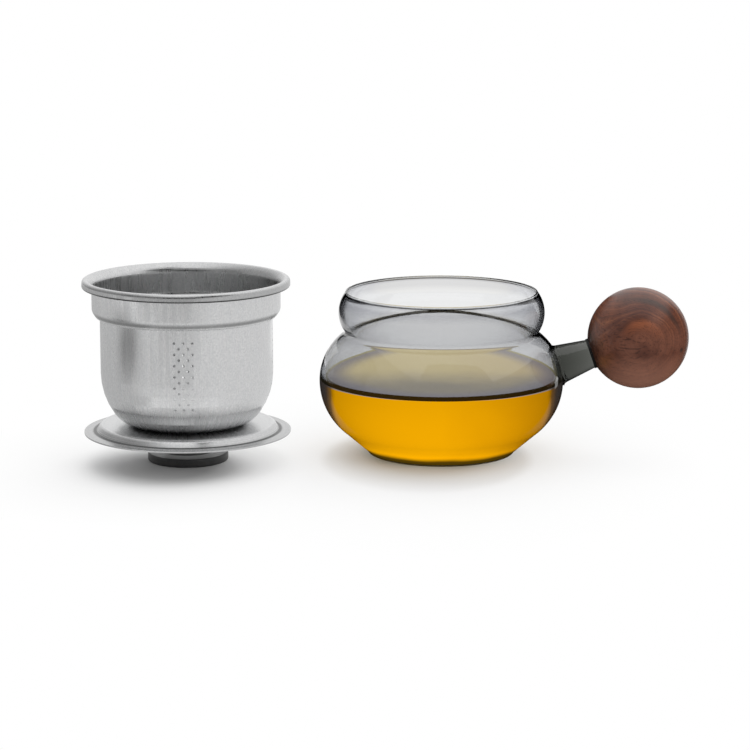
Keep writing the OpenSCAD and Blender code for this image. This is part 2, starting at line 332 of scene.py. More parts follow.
def smoke_glass(name, tint, density, ripple_mm, edge):
    """Clear glass with a coloured melt, slow ripples, and an edge tint from a function."""
    material = new_material(name)
    place = add(material, "TexCoord", out="Object")
    stretch = add(material, "Mapping", {"Vector": place, "Scale": (1, 1, RIPPLE_STRETCH)})
    ripple = add(material, "TexNoise", {"Vector": stretch, "Scale": 1 / (ripple_mm * MM),
                                        "Detail": 1.5})
    bump = add(material, "Bump", {"Height": ripple, "Strength": 0.12,
                                  "Distance": RIPPLE_DEPTH_MM * MM})
    surface = add(material, "BsdfPrincipled", {
        "Base Color": edge(material), "Roughness": 0.0, "IOR": GLASS_IOR,
        "Transmission Weight": 1.0, "Normal": bump})
    melt = add(material, "VolumeAbsorption", {"Color": tint, "Density": density})
    add(material, "OutputMaterial", {"Surface": surface, "Volume": melt})
    return material


def facing_edge(material, reach):
    """How nearly a surface is seen edge-on, from 0 to 1, made wider or narrower by reach."""
    facing = add(material, "LayerWeight", {"Blend": 0.5}, out="Facing")
    return add(material, "Math", {0: facing, 1: reach}, operation="ADD")


# %% The mug's edges
# The edge reaches furthest in at the lip, and next where the wall stands upright: at the belly
# and at the bulge. All three sets of stops up the mug go from 0 at the foot to 1 at the lip
REACH = [(0.0, 0.15), (0.14, 0.15), (0.24, 0.40), (0.33, 0.55), (0.42, 0.68), (0.47, 0.70),
         (0.51, 0.45), (0.55, 0.0), (0.68, 0.0), (0.74, 0.50), (0.80, 0.59), (0.968, 0.59),
         (0.978, 0.92), (1.0, 0.92)]
# Painted shade: a dark line under the rounded lip, where it is seen edge-on, and a slightly
# greyer band below it
LIP_SHADE_LINE = [(0.90, WHITE), (0.94, "DEDEE2"), (0.981, "DEDEE2"), (0.984, "1A1A1C"),
            (0.990, "1A1A1C"), (0.994, WHITE)]
# Painted shade: the outer side is greyer where it faces the viewer than where it is seen from
# inside, through the far wall
NEAR_WALL_SHADE = [(0.04, WHITE), (0.10, "D9D9DB"), (0.95, "D9D9DB"), (0.97, WHITE)]
# These stops go from a wall seen straight on to one seen edge-on
EDGE = [(0.0, WHITE), (0.15, "F8F9FA"), (0.40, "DCDDE0"), (0.61, "C3C4C7"), (0.68, "48484A"),
        (0.76, "242426"), (1.0, "1C1C1E")]


def mug_edge(material):
    """Painted shade: nearly black where the outer side is seen edge-on and in a line at the lip,
    and greyer where it faces the viewer.
    """
    place = add(material, "TexCoord", out="Object")
    height = add(material, "SeparateXYZ", {"Vector": place}, out="Z")
    level = add(material, "Math", {0: height, 1: MUG_H * MM}, operation="DIVIDE")
    reach = add(material, "ValToRGB", {"Fac": level}, REACH)
    reach = add(material, "MapRange", {"Value": reach, "To Min": -0.5, "To Max": 0.35})
    edge = add(material, "ValToRGB", {"Fac": facing_edge(material, reach)}, EDGE)
    line = add(material, "ValToRGB", {"Fac": level}, LIP_SHADE_LINE)
    edge = add(material, "Mix", {AMOUNT: 1.0, FROM: edge, TO: line}, **TINT)
    inward = add(material, "NewGeometry", out="Backfacing")
    near = add(material, "ValToRGB", {"Fac": level}, NEAR_WALL_SHADE)
    near = add(material, "Mix", {AMOUNT: inward, FROM: near, TO: WHITE}, **BLEND)
    edge = add(material, "Mix", {AMOUNT: 1.0, FROM: edge, TO: near}, **TINT)
    outer_side = add(material, "Attribute", attribute_name="outer", out="Fac")
    return add(material, "Mix", {AMOUNT: outer_side, FROM: WHITE, TO: edge}, **BLEND)


dress(mug, smoke_glass("smoke_borosilicate", "8A9096", 160, 14, mug_edge))

# %% The stub's edges


def stub_edge(material):
    """Painted shade: dark where the rod is seen edge-on."""
    stops = [(0.0, WHITE), (0.35, "E0E0E0"), (0.80, "202020")]
    return add(material, "ValToRGB", {"Fac": facing_edge(material, 0.0)}, stops)


dress(nodes["glass_stub"],
      smoke_glass("dark_smoke_borosilicate_rod", "858880", 250, 9, stub_edge))

# %% [markdown]
# ## Satin stainless steel
# The infuser is deep-drawn from one sheet and the lid is pressed. Both are polished to a
# satin, which leaves fine lines: upright ones on the drawn wall, and rings on the lid, which
# is finished on a spinning chuck. The lines are finer than a pixel on the real sheet, so they
# are drawn about 0.3 mm apart. Metal keeps the default IOR, and its colour is its reflection.
# Dark rings at a set height or radius are painted shade: under the rolled rim and the collar, and
# in the crease between the lid's plug and its brim. The rolled rim and the brim itself are
# painted a little darker too.

# %% Satin steel
LINE_MM = 0.3
LINE_LENGTH_MM = 5
GRIT_MM = 0.7
GRAIN_DEPTH_MM = 0.02
# The radius at which the angle round the infuser is turned into millimetres along its wall
DRAWN_R = 33
# The heights and radii of the rings of painted shade are stops of a ramp that spans this many
# millimetres
SHADE_RINGS_SPAN = 100


def satin_steel(name, colours, roughness, spun, rings):
    """Satin steel, with rings of painted shade as (outside which radius, stops of height or
    radius, in mm).
    """
    material = new_material(name)
    place = add(material, "TexCoord", out="Object")
    own = add(material, "VectorMath", {0: place, 1: STACK}, operation="SUBTRACT")
    parts = add(material, "SeparateXYZ", {"Vector": own}, out=None)
    flat = add(material, "CombineXYZ", {"X": parts["X"], "Y": parts["Y"]})
    radius = add(material, "VectorMath", {0: flat}, operation="LENGTH", out="Value")
    if spun:
        grain_place = add(material, "CombineXYZ", {"X": radius, "Y": parts["Z"]})
        scales = (1 / (LINE_MM * MM), 1 / (LINE_MM * MM), 1)
    else:
        turn = add(material, "Math", {0: parts["Y"], 1: parts["X"]}, operation="ARCTAN2")
        along = add(material, "Math", {0: turn, 1: DRAWN_R * MM}, operation="MULTIPLY")
        grain_place = add(material, "CombineXYZ", {"X": along, "Y": parts["Z"], "Z": radius})
        scales = (1 / (LINE_MM * MM), 1 / (LINE_LENGTH_MM * MM), 1 / (LINE_LENGTH_MM * MM))
    lines_place = add(material, "VectorMath", {0: grain_place, 1: scales}, operation="MULTIPLY")
    lines = add(material, "TexNoise", {"Vector": lines_place, "Scale": 1.0, "Detail": 3.0})
    grit = add(material, "TexNoise", {"Vector": place, "Scale": 1 / (GRIT_MM * MM),
                                      "Detail": 3.0})
    both = add(material, "Math", {0: grit, 1: 3.0, 2: lines}, operation="MULTIPLY_ADD")
    grain = add(material, "Math", {0: both, 1: 0.25}, operation="MULTIPLY")
    bump = add(material, "Bump", {"Height": grain, "Strength": 0.25,
                                  "Distance": GRAIN_DEPTH_MM * MM})
    # The polish varies slowly, over patches five lines wide
    cloud = add(material, "TexNoise", {"Vector": lines_place, "Scale": 0.2, "Detail": 2.0})
    rough = add(material, "MapRange", {
        "Value": cloud, "From Min": 0.3, "From Max": 0.7,
        "To Min": roughness - 0.05, "To Max": roughness + 0.06})
    tone = add(material, "ValToRGB", {"Fac": grain}, [(0.35, colours[0]), (0.65, colours[1])])
    measure = add(material, "Math", {0: radius if spun else parts["Z"], 1: SHADE_RINGS_SPAN * MM},
                  operation="DIVIDE")
    # Each set of rings tints the tone with painted shade, outside its radius
    for outside_mm, stops in rings:
        ring = add(material, "ValToRGB", {"Fac": measure},
                   [(mm / SHADE_RINGS_SPAN, colour) for mm, colour in stops])
        beyond = add(material, "Math", {0: radius, 1: outside_mm * MM}, operation="GREATER_THAN")
        tone = add(material, "Mix", {AMOUNT: beyond, FROM: tone, TO: ring}, **TINT)
    surface = add(material, "BsdfPrincipled", {"Base Color": tone, "Metallic": 1.0,
                                               "Roughness": rough, "Normal": bump})
    add(material, "OutputMaterial", {"Surface": surface})
    return material


# %% Infuser and lid
# Painted shade: the rolled rim is darker than the wall, with a darker line where its edge is
# tucked under
RIM_SHADE_RINGS = [(68.9, WHITE), (69.1, "383838"), (69.6, "383838"), (69.9, "DADADA"),
             (71.6, "DADADA"), (72.0, WHITE)]
# Painted shade in the crease under the collar, and in the one between the lid's plug and its
# brim, with the brim beyond it painted a little darker
COLLAR_SHADE_RINGS = [(58.2, WHITE), (58.7, "ACACAC"), (59.5, "ACACAC"), (60.6, WHITE)]
BRIM_SHADE_RINGS = [(35.5, WHITE), (35.9, "4A4A4A"), (36.7, "4A4A4A"), (37.3, "E2E2E2")]
# Only the outside of the sheet has its rings of painted shade, so each set starts at a radius
RIM_FROM = 39.7
COLLAR_FROM = 33.8

dress(nodes["infuser_basket"],
      satin_steel("satin_drawn_steel", ("CFD0D1", "E0E0E0"), 0.28, False,
                  [(RIM_FROM, RIM_SHADE_RINGS), (COLLAR_FROM, COLLAR_SHADE_RINGS)]))
dress(nodes["lid_pan"],
      satin_steel("satin_spun_steel", ("D0D1D2", "E1E1E1"), 0.24, True, [(0.0, BRIM_SHADE_RINGS)]))

# %% [markdown]
# ## The screw and the insert
# These two are hidden in the knob. The screw is bright zinc-plated steel turned on a lathe,
# and the insert is plain turned brass, moulded in so that the screw can bite.

# %% Screw and insert
# One wave of Blender's wave texture is this long at scale 1, in metres
WAVE_LENGTH = 0.314
TOOL_DEPTH_MM = 0.03


def turned_metal(name, colours, roughness, pitch_mm):
    """Turned metal, with the tool's rings along the piece's own axis."""
    material = new_material(name)
    place = add(material, "TexCoord", out="Object")
    rings = add(material, "TexWave", {"Vector": place, "Scale": WAVE_LENGTH / (pitch_mm * MM),
                                      "Distortion": 1.0}, bands_direction="Z", out="Fac")
    tone = add(material, "ValToRGB", {"Fac": rings}, [(0.0, colours[0]), (1.0, colours[1])])
    bump = add(material, "Bump", {"Height": rings, "Strength": 0.3,
                                  "Distance": TOOL_DEPTH_MM * MM})
    surface = add(material, "BsdfPrincipled", {
        "Base Color": tone, "Metallic": 1.0, "Roughness": roughness, "Normal": bump})
    add(material, "OutputMaterial", {"Surface": surface})
    return material


dress(nodes["lid_screw"], turned_metal("zinc_plated_steel", ("B9BCC0", "D2D4D6"), 0.3, 0.7))
dress(nodes["knob_insert"], turned_metal("turned_brass", ("B08D3E", "D6B45C"), 0.28, 0.6))

# %% [markdown]
# ## Black resin knob and silicone sleeve
# The knob is moulded phenolic resin: nearly black, with a soft shine and the faint texture that
# the mould's own finish leaves. A fine pale line round the top edge of its grip is a painted
# highlight, and above it the resin is painted a little paler, as painted light. The sleeve in the
# ball is matt black silicone.

# %% Resin and silicone
RESIN_IOR = 1.5
# Painted highlight: the height of a pale line round the grip's top edge, and its colour
HIGHLIGHT_LINE_MM = 3.6
HIGHLIGHT_COLOUR = "C8C8C8"


def painted_highlight(material, place, tone):
    """A painted highlight: a pale line round the grip's top edge, and a paler painted tone above
    it.
    """
    height = add(material, "SeparateXYZ", {"Vector": place}, out="Z")
    above = add(material, "Math", {0: height, 1: -HIGHLIGHT_LINE_MM * MM}, operation="ADD")
    line = add(material, "Math", {0: above}, operation="ABSOLUTE")
    line = add(material, "MapRange", {"Value": line, "From Min": 0.12 * MM, "From Max": 0.3 * MM,
                                      "To Min": 0.9, "To Max": 0.0})
    pale = add(material, "Math", {0: above, 1: 0.0}, operation="GREATER_THAN")
    pale = add(material, "Math", {0: pale, 1: 0.12}, operation="MULTIPLY")
    line = add(material, "Math", {0: line, 1: pale}, operation="MAXIMUM")
    return add(material, "Mix", {AMOUNT: line, FROM: tone, TO: HIGHLIGHT_COLOUR}, **BLEND)


def moulded(name, colours, roughness, texture_mm, depth_mm, with_highlight=False):
    """Two close tones and the mould's fine grain."""
    material = new_material(name)
    place = add(material, "TexCoord", out="Object")
    grain = add(material, "TexNoise", {"Vector": place, "Scale": 1 / (texture_mm * MM),
                                       "Detail": 3.0})
    tone = add(material, "ValToRGB", {"Fac": grain}, [(0.3, colours[0]), (0.7, colours[1])])
    if with_highlight:
        tone = painted_highlight(material, place, tone)
    rough = add(material, "MapRange", {
        "Value": grain, "From Min": 0.3, "From Max": 0.7,
        "To Min": roughness - 0.04, "To Max": roughness + 0.05})
    bump = add(material, "Bump", {"Height": grain, "Strength": 0.4, "Distance": depth_mm * MM})
    surface = add(material, "BsdfPrincipled", {
        "Base Color": tone, "Roughness": rough, "IOR": RESIN_IOR, "Normal": bump})
    add(material, "OutputMaterial", {"Surface": surface})
    return material


# The knob gets the painted highlight line and the paler painted tone above it
dress(nodes["knob"], moulded("moulded_phenolic", ("222222", "303030"), 0.42, 0.8, 0.03, True))
dress(nodes["silicone_sleeve"], moulded("black_silicone", ("121211", "1E1E1C"), 0.6, 0.6, 0.02))

# %% [markdown]
# ## Oiled walnut
# A tree grows a ring each year, so in a turned ball the rings are slices through nested
# cylinders. The pattern needs no drawing: the shader measures how far each point lies from
# the tree's heart, bends that distance with slow noise, and colours it by ring. The heart
# leaves this ball at its front, so the rings close there round one point. The length of a
# cross product is that distance, when one of its vectors is the heart's direction.

# %% The tree's heart
ball_low, ball_high = box_corners("ball_handle")
BALL_R = (ball_high[2] - ball_low[2]) / 2
BALL_C = Vector((ball_high[0] - BALL_R, 0.0, ball_low[2] + BALL_R)) * MM
HEART_AT = BALL_C + Vector((0.6, -19.9, 1.5)) * MM
HEART_WAY = Vector((0.57, -0.81, 0.10)).normalized()
BORE_AT = BALL_C + Vector((-18.9, 0.0, -6.5)) * MM
KNOT_AT = BALL_C + Vector((16.0, -11.7, -2.8)) * MM
BEND_MM = 7
BEND_OVER_MM = 22
print("ball radius", round(BALL_R, 2), "centre in mm:", [round(v / MM, 2) for v in BALL_C])


def from_heart(material, place):
    """A place from the heart's end, the same bent by slow noise, and how far the heart is."""
    slow = add(material, "TexNoise", {"Vector": place, "Scale": 1 / (BEND_OVER_MM * MM),
                                      "Detail": 2.0}, out="Color")
    shift = add(material, "VectorMath", {0: slow, 1: (0.5, 0.5, 0.5)}, operation="SUBTRACT")
    bend = add(material, "VectorMath", {0: shift, "Scale": BEND_MM * MM}, operation="SCALE")
    own = add(material, "VectorMath", {0: place, 1: HEART_AT}, operation="SUBTRACT")
    bent = add(material, "VectorMath", {0: own, 1: bend}, operation="ADD")
    across = add(material, "VectorMath", {0: bent, 1: HEART_WAY}, operation="CROSS_PRODUCT")
    radius = add(material, "VectorMath", {0: across}, operation="LENGTH", out="Value")
    return own, bent, radius


# %% Growth rings
RING_MM = 1.5
CLOUD_MM = 11
RING_TONES = [(0.28, "4E2A1A"), (0.44, "643521"), (0.56, "76412A"), (0.72, "945B39")]
EVEN_TONE = "744430"


def growth_rings(material, place, ring, upper):
    """Browns by ring, clearest in the upper part, where upper is 1, and evener below."""
    rings = add(material, "TexNoise", {"W": ring, "Scale": 1.0, "Detail": 5.0,
                                       "Roughness": 0.72}, noise_dimensions="1D")
    tone = add(material, "ValToRGB", {"Fac": rings}, RING_TONES)
    even = add(material, "MapRange", {"Value": upper, "To Min": 0.62, "To Max": 0.2})
    tone = add(material, "Mix", {AMOUNT: even, FROM: tone, TO: EVEN_TONE}, **BLEND)
    # A slow cloud keeps the rings from closing evenly all the way round
    cloud = add(material, "TexNoise", {"Vector": place, "Scale": 1 / (CLOUD_MM * MM),
                                       "Detail": 3.0})
    mottle = add(material, "ValToRGB", {"Fac": cloud}, [(0.32, "B49C94"), (0.55, WHITE)])
    return add(material, "Mix", {AMOUNT: 0.8, FROM: tone, TO: mottle}, **TINT)


# %% Stained rings and a pin knot
WARM_RING_MM = 5.8
STAINED_RING_MM = 16.4


def stained_ring(material, radius, upper, at_mm, full_mm, none_mm, most):
    """How much a ring shows in the upper part: most within full_mm of it, none past none_mm."""
    off = add(material, "Math", {0: radius, 1: at_mm * MM}, operation="SUBTRACT")
    off = add(material, "Math", {0: off}, operation="ABSOLUTE")
    shown = add(material, "MapRange", {"Value": off, "From Min": full_mm * MM,
                                       "From Max": none_mm * MM, "To Min": most, "To Max": 0})
    return add(material, "Math", {0: shown, 1: upper}, operation="MULTIPLY")


def dark_marks(material, place, own, stain):
    """A stained ring that fades out to the left, and a pin knot."""
    side = add(material, "SeparateXYZ", {"Vector": own}, out="X")
    side = add(material, "MapRange", {"Value": side, "From Min": -11 * MM, "From Max": 1 * MM})
    stain = add(material, "Math", {0: stain, 1: side}, operation="MULTIPLY")
    knot = add(material, "VectorMath", {0: place, 1: KNOT_AT}, operation="DISTANCE", out="Value")
    pin = add(material, "MapRange", {"Value": knot, "From Min": 0.5 * MM, "From Max": 1.3 * MM,
                                     "To Min": 1, "To Max": 0})
    marks = add(material, "Math", {0: stain, 1: pin}, operation="MAXIMUM")
    return add(material, "Math", {0: marks, 1: 0.75}, operation="MULTIPLY")


# %% Vessels
# Real vessels are finer. These are 3 mm long, and four to a 1.5 mm ring lie 0.4 mm apart
VESSEL_LENGTH_MM = 3
VESSELS_PER_RING = 4
VESSEL_GRAIN_MM = 0.7


def vessels(material, place, bent, ring):
    """The fine pores that run along the heart, as a noise."""
    along = add(material, "VectorMath", {0: bent, 1: HEART_WAY}, operation="DOT_PRODUCT",
                out="Value")
    fibre_place = add(material, "CombineXYZ", {"X": ring, "Y": along})
    fine = add(material, "VectorMath", {0: place, 1: (1 / (VESSEL_GRAIN_MM * MM),) * 3},
               operation="MULTIPLY")
    scales = (VESSELS_PER_RING, 1 / (VESSEL_LENGTH_MM * MM), 0)
    long_way = add(material, "VectorMath", {0: fibre_place, 1: scales}, operation="MULTIPLY")
    mixed = add(material, "VectorMath", {0: fine, 1: long_way}, operation="ADD")
    return add(material, "TexNoise", {"Vector": mixed, "Scale": 1.0, "Detail": 2.0})


# %% The ball's walnut
WOOD_IOR = 1.5
OIL_COAT = 0.4
VESSEL_DEPTH_MM = 0.04


def oiled_walnut():
    """Growth rings, stained ones, a pin knot, fine vessels and a soft oil finish."""
    material = new_material("oiled_walnut")
    place = add(material, "TexCoord", out="Object")
    own, bent, radius = from_heart(material, place)
    ring = add(material, "Math", {0: radius, 1: RING_MM * MM}, operation="DIVIDE")
    height = add(material, "SeparateXYZ", {"Vector": own}, out="Z")
    upper = add(material, "MapRange", {"Value": height, "From Min": 1 * MM, "From Max": 8 * MM})
    tone = growth_rings(material, place, ring, upper)
    # One wide ring near the heart is orange, and one further out is dark
    warm = stained_ring(material, radius, upper, WARM_RING_MM, 0.6, 3.0, 0.55)
    tone = add(material, "Mix", {AMOUNT: warm, FROM: tone, TO: "A0562C"}, **BLEND)
    stain = stained_ring(material, radius, upper, STAINED_RING_MM, 0.4, 2.0, 1)
    marks = dark_marks(material, place, own, stain)
    tone = add(material, "Mix", {AMOUNT: marks, FROM: tone, TO: "3A2C27"}, **BLEND)
    pores = vessels(material, place, bent, ring)
    dark_pores = add(material, "ValToRGB", {"Fac": pores}, [(0.32, "6B5048"), (0.46, WHITE)])
    tone = add(material, "Mix", {AMOUNT: 0.6, FROM: tone, TO: dark_pores}, **TINT)
    # Painted light: the lower part is paler, where light bounces up from the floor
    low = add(material, "MapRange", {"Value": height, "From Min": -5 * MM, "From Max": -17 * MM,
                                     "To Min": 0, "To Max": 0.6})
    tone = add(material, "Mix", {AMOUNT: low, FROM: tone, TO: "9C6B56"}, **BLEND)
    # Painted shade: darker round the bore, next to the sleeve and the stub
    bore_shade = add(material, "VectorMath", {0: place, 1: BORE_AT}, operation="DISTANCE", out="Value")
    bore_shade = add(material, "MapRange", {"Value": bore_shade, "From Min": 5 * MM, "From Max": 17 * MM,
                                      "To Min": 0.75, "To Max": 0}, **SMOOTH)
    tone = add(material, "Mix", {AMOUNT: bore_shade, FROM: tone, TO: "2A160D"}, **BLEND)
    bump = add(material, "Bump", {"Height": pores, "Strength": 0.3,
                                  "Distance": VESSEL_DEPTH_MM * MM})
    surface = add(material, "BsdfPrincipled", {
        "Base Color": tone, "Roughness": 0.45, "IOR": WOOD_IOR,
        "Coat Weight": OIL_COAT, "Coat Roughness": 0.3, "Normal": bump})
    add(material, "OutputMaterial", {"Surface": surface})
    return material


dress(nodes["ball_handle"], oiled_walnut())

# %% [markdown]
# ## A cup of tea
# The tea is not part of the mug, so it is staged: it shows how the glass looks in use. Strong tea
# in front of a white backdrop glows evenly, so its body is plain emission, a little brighter on
# the left. Tea bends light nearly as much as glass, so from outside it seems to fill the wall
# too, and the body is drawn that wide. Its surface is a disc of its own, and it creeps up the
# wall in a thin dark line.

# %% The shape of the tea
# The tea's surface, where its body begins, and how far the surface stays off the wall
TEA_Z = 31.1
TEA_BOTTOM = 1.0
OFF_WALL = 0.25
# How far the body stays inside the mug's outer surface at the foot, and how much further at
# the tea's surface
FOOT_INSET = 0.5
TOP_INSET = 1.25
# The dark line at the wall: how far it reaches down, up and in
CREEP = 1.25
CREEP_UP = 0.35
CREEP_IN = 0.9
TEA_STEPS = 144


def wall_radius(z):
    """The hollow's radius at a height."""
    for (r0, z0), (r1, z1) in zip(inside, inside[1:]):
        if z0 <= z <= z1 and z1 > z0:
            return r0 + (r1 - r0) * (z - z0) / (z1 - z0)
    raise ValueError("no wall at this height")


def tea_body():
    """The mug's outer outline, drawn in a little, from the bottom up to the dark line."""
    points = [(r, z) for r, z in outside if z < TEA_Z - CREEP]
    insets = [FOOT_INSET + TOP_INSET * (z / TEA_Z) ** 2 for r, z in points]
    shrunk = [(max(0.0, r - inset), max(z, TEA_BOTTOM)) for (r, z), inset in zip(points, insets)]
    return shrunk + [(0, TEA_Z - CREEP)]


tea_r = wall_radius(TEA_Z) - OFF_WALL
tea = lathe("tea", tea_body(), TEA_STEPS)
tea_top = lathe("tea_surface", [(tea_r - CREEP_IN, TEA_Z), (0, TEA_Z)], TEA_STEPS)
creep_r = max(tea_body())[0] - 0.05
creep = lathe("tea_creep", [(creep_r, TEA_Z - CREEP), (creep_r, TEA_Z - 0.2),
                            (tea_r, TEA_Z + CREEP_UP), (tea_r - CREEP_IN, TEA_Z)], TEA_STEPS)

# %% The colour of the tea
DRIFT_MM = 22
SEEN_GLOW = 1.36
# The white floor near the mug takes up less of the tea's colour than it would from a lamp
LIGHTING_GLOW = 0.2


def at_rim(material, place, tone, rim):
    """Turns a tone into another near the wall."""
    flat = add(material, "VectorMath", {0: place, 1: (1, 1, 0)}, operation="MULTIPLY")
    reach = add(material, "VectorMath", {0: flat}, operation="LENGTH", out="Value")
    outward = add(material, "MapRange", {"Value": reach, "From Min": 33 * MM,
                                         "From Max": 44 * MM, "To Max": 0.8}, **SMOOTH)
    return add(material, "Mix", {AMOUNT: outward, FROM: tone, TO: rim}, **BLEND)


def at_sides(material, height, tone, side):
    """Painted shade: near the mug's outline the tea turns grey, where the smoke wall is seen
    edge-on.
    """
    facing = add(material, "LayerWeight", {"Blend": 0.5}, out="Facing")
    turned = add(material, "MapRange", {"Value": facing, "From Min": 0.22, "From Max": 0.255})
    upper = add(material, "MapRange", {"Value": height, "From Min": 12 * MM, "From Max": 26 * MM})
    turned = add(material, "Math", {0: turned, 1: upper}, operation="MULTIPLY")
    return add(material, "Mix", {AMOUNT: turned, FROM: tone, TO: side}, **BLEND)


def brew(name, left, right, axis, start, end, far_tone, rim=None, side=None):
    """A glow from left to right, with a tone far along an axis, at the rim and at each side."""
    material = new_material(name)
    place = add(material, "TexCoord", out="Object")
    parts = add(material, "SeparateXYZ", {"Vector": place}, out=None)
    cloud = add(material, "TexNoise", {"Vector": place, "Scale": 1 / (18 * MM), "Detail": 2.0})
    moved = add(material, "Math", {0: cloud, 1: DRIFT_MM * MM, 2: parts["X"]},
                operation="MULTIPLY_ADD")
    across = add(material, "MapRange", {"Value": moved, "From Min": -30 * MM,
                                        "From Max": 62 * MM})
    tone = add(material, "ValToRGB", {"Fac": across}, [(0.0, left), (0.45, left), (1.0, right)])
    drift = add(material, "Math", {0: cloud, 1: (end - start) * MM, 2: parts[axis]},
                operation="MULTIPLY_ADD")
    # The noise moves a point by up to the range's length, and each end lies half of it further
    far = add(material, "MapRange", {
        "Value": drift, "From Min": (1.5 * start - 0.5 * end) * MM,
        "From Max": (1.5 * end - 0.5 * start) * MM}, **SMOOTH)
    tone = add(material, "Mix", {AMOUNT: far, FROM: tone, TO: far_tone}, **BLEND)
    if rim:
        tone = at_rim(material, place, tone, rim)
    if side:
        tone = at_sides(material, parts["Z"], tone, side)
    bounces = add(material, "LightPath", out="Diffuse Depth")
    strength = add(material, "MapRange", {"Value": bounces, "To Min": SEEN_GLOW,
                                          "To Max": LIGHTING_GLOW})
    glow = add(material, "Emission", {"Color": tone, "Strength": strength})
    add(material, "OutputMaterial", {"Surface": glow})
    return material


# The body's glow is painted light. It darkens towards its bottom, as painted shade where light
# fades in the thick foot, and turns grey at its sides as painted shade
dress(tea, brew("brewed_tea", "F6AC02", "D69002", "Z", 3.4, 2.0, "463406", side="A89A90"))
# The surface is painted beige and grey, partly as a painted reflection of the room on tea seen so
# flat. It greys towards the front and at the wall
dress(tea_top, brew("tea_seen_flat", "BFB28C", "B6A686", "Y", -10, -30, "8C877C", "7E7C84"))
# The line where the tea creeps up the wall is painted dark, as painted shade, and paler towards
# the back
dress(creep, brew("tea_edge", "33240A", "2A1D08", "Y", -4, 20, "9C9678"))
for piece in (tea, tea_top, creep):
    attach(piece, "mug")

# %% [markdown]
# ## Floor, backdrop and light
# The set is a white sweep. The floor takes the object's shadow near each foot, and from there on
# it glows as white as the backdrop, so that no edge shows where the two meet. How much of each is
# seen depends on the distance from the middle of each shadow. A painted shadow under the front of
# the lid and a painted warm glow round the mug's foot are added to the floor. The backdrop is
# white for the camera and through glass, and large soft lamps help it to light the object.

# %% Where the floor fades
SWEEP_R = 3000
SWEEP_MIDDLE_R = 600
SWEEP_STEPS = 64
# How much the floor has faded into the backdrop at these distances from each shadow's middle
FADE_MM = 130
STACK_FADE = [(18, 0.0), (26, 0.12), (36, 0.50), (44, 0.66), (60, 0.80), (95, 1.0)]
MUG_FADE = [(18, 0.03), (30, 0.27), (38, 0.42), (43, 0.66), (56, 0.74), (80, 0.88), (110, 1.0)]
# Each shadow's middle lies a little in front of its foot and to the left
STACK_SHADOW = STACK + Vector((-8, -15, 0)) * MM
MUG_SHADOW = Vector((-6, -14, 0)) * MM
# Distances from front to back count for less round the mug, so its shadow is an oval
MUG_DEPTH = 0.72
# Painted shadow: the floor's colour is darkest under the front of the lid, where least light
# reaches it
DARKEST = STACK + Vector((-4, -24, 0)) * MM


def fade_from(material, place, centre, depth, stops):
    """How far the floor has faded at its distance from a shadow's middle."""
    own = add(material, "VectorMath", {0: place, 1: centre}, operation="SUBTRACT")
    own = add(material, "VectorMath", {0: own, 1: (1, depth, 1)}, operation="MULTIPLY")
    off = add(material, "VectorMath", {0: own}, operation="LENGTH", out="Value")
    off = add(material, "Math", {0: off, 1: FADE_MM * MM}, operation="DIVIDE")
    return add(material, "ValToRGB", {"Fac": off}, [(mm / FADE_MM, level) for mm, level in stops])


# %% Floor


def white_floor():
    """A white floor that keeps shadows near the object and fades into the backdrop."""
    material = new_material("white_sweep")
    place = add(material, "TexCoord", out="Object")
    at_stack = fade_from(material, place, STACK_SHADOW, 1.0, STACK_FADE)
    at_mug = fade_from(material, place, MUG_SHADOW, MUG_DEPTH, MUG_FADE)
    fade = add(material, "Math", {0: at_stack, 1: at_mug}, operation="MINIMUM")
    # Painted shadow: the floor's own colour darkens towards the front of the lid
    shade = add(material, "VectorMath", {0: place, 1: DARKEST}, operation="DISTANCE", out="Value")
    shade = add(material, "MapRange", {"Value": shade, "From Min": 8 * MM, "From Max": 42 * MM,
                                       "To Min": 0.5, "To Max": 0.9}, **SMOOTH)
    matt = add(material, "BsdfDiffuse", {"Color": shade})
    # Painted light: a warm glow on the floor round the mug's foot stands for the light that glass
    # and tea gather there
    foot = add(material, "VectorMath", {0: place}, operation="LENGTH", out="Value")
    gathered = add(material, "MapRange", {"Value": foot, "From Min": 34 * MM, "From Max": 80 * MM,
                                          "To Min": 0.07, "To Max": 0}, **SMOOTH)
    warm = add(material, "Emission", {"Color": "FFD84A", "Strength": gathered})
    matt = add(material, "AddShader", {0: matt, 1: warm})
    white = add(material, "Emission", {"Color": WHITE, "Strength": 1.0})
    mixed = add(material, "MixShader", {0: fade, 1: matt, 2: white})
    add(material, "OutputMaterial", {"Surface": mixed})
    return material


floor = lathe("floor", [(0, 0), (SWEEP_MIDDLE_R, 0), (SWEEP_R, 0)], SWEEP_STEPS)
dress(floor, white_floor())

# %% World
# How strongly the backdrop lights the object, beside the 1 at which it is seen
WORLD_LIGHT = 0.68

world = bpy.data.worlds.new("studio")
world.use_nodes = True
world.node_tree.nodes.clear()
bpy.context.scene.world = world
rays = add(world, "LightPath", out=None)
seen = add(world, "Math", {0: rays["Is Camera Ray"], 1: rays["Is Glossy Ray"]}, operation="ADD")
seen = add(world, "Math", {0: seen, 1: rays["Is Transmission Ray"]}, operation="ADD",
           use_clamp=True)
light = add(world, "Background", {"Color": WHITE, "Strength": WORLD_LIGHT})
backdrop = add(world, "Background", {"Color": WHITE, "Strength": 1.0})
both = add(world, "MixShader", {0: seen, 1: light, 2: backdrop})
add(world, "OutputWorld", {"Surface": both})
print("the world lights the object at", WORLD_LIGHT)

